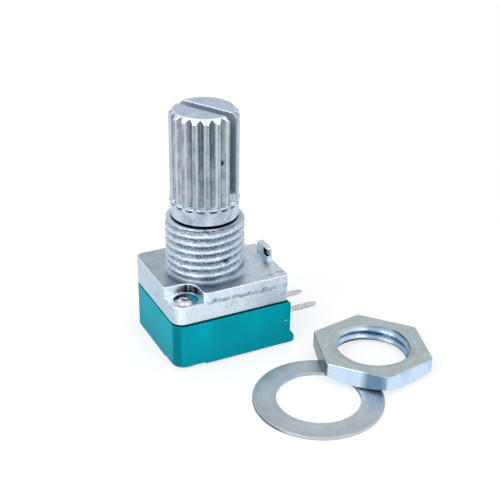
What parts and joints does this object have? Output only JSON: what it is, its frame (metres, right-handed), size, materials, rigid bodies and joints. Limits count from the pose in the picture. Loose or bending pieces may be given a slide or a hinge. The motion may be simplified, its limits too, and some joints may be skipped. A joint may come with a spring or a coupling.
{
  "type": "switched rotary potentiometer",
  "caption": "Small panel potentiometer with a slotted splined metal shaft, threaded bushing, moulded case, built-in switch, flat terminals, and a loose nut and washer.",
  "frame": {"origin": "on the shaft's axis, in the plane of the mounting face of the die-cast plate", "axes": "+Z along the shaft towards its slotted tip, +X towards the three resistor terminals, +Y towards the side that the switch terminals leave by"},
  "size_m": [0.0216, 0.0274, 0.0221],
  "materials": {
    "die_cast_zinc": "bare die-cast zinc, fine grain",
    "teal_plastic": "moulded, satin gloss",
    "phenolic_board": "punched laminate, matt",
    "carbon_film": "printed film, matt",
    "silver_film": "printed silver film",
    "tinned_brass": "tin plated, satin",
    "rivet_metal": "bright, formed",
    "shaft_metal": "bare, cast spline with turned ends",
    "spring_steel": "hardened, bright",
    "carrier_plastic": "moulded, matt",
    "spring_bronze": "rolled strip, bright",
    "cam_plastic": "moulded, matt",
    "washer_steel": "zinc plated, stamped",
    "nut_steel": "zinc plated, turned top"
  },
  "bodies": {
    "housing": {"bushing_housing": "die_cast_zinc", "case_body": "teal_plastic", "resistor_board": "phenolic_board", "resistive_track": "carbon_film", "track_leads": "silver_film", "collector_ring": "silver_film", "pot_terminal_1": "tinned_brass", "pot_terminal_2": "tinned_brass", "pot_terminal_3": "tinned_brass", "case_rivets": "rivet_metal", "switch_terminal_1": "tinned_brass", "switch_terminal_2": "tinned_brass", "switch_detent_spring": "spring_steel"},
    "rotor": {"shaft": "shaft_metal", "retaining_ring": "spring_steel", "wiper_carrier": "carrier_plastic", "wiper_spring": "spring_bronze", "switch_cam": "cam_plastic"},
    "snap_lever": {"switch_lever": "cam_plastic", "switch_contact_bridge": "spring_bronze"},
    "washer": {"flat_washer": "washer_steel"},
    "nut": {"hex_nut": "nut_steel"}
  },
  "joints": [
    {"name": "shaft_rotation", "type": "hinge", "parent": "housing", "child": "rotor", "pos_m": [0, 0, 0], "axis": [0, 0, 1], "range_deg": [-90, 210]},
    {"name": "switch_snap", "type": "hinge", "parent": "housing", "child": "snap_lever", "pos_m": [-0.003, 0, -0.00585], "axis": [0, 0, 1], "range_deg": [-36, 0]},
    {"name": "washer_lift", "type": "slide", "parent": "housing", "child": "washer", "axis": [0, 0, 1], "range_m": [0, 0.03]},
    {"name": "nut_lift", "type": "slide", "parent": "washer", "child": "nut", "axis": [0, 0, 1], "range_m": [0, 0.03]}
  ]
}
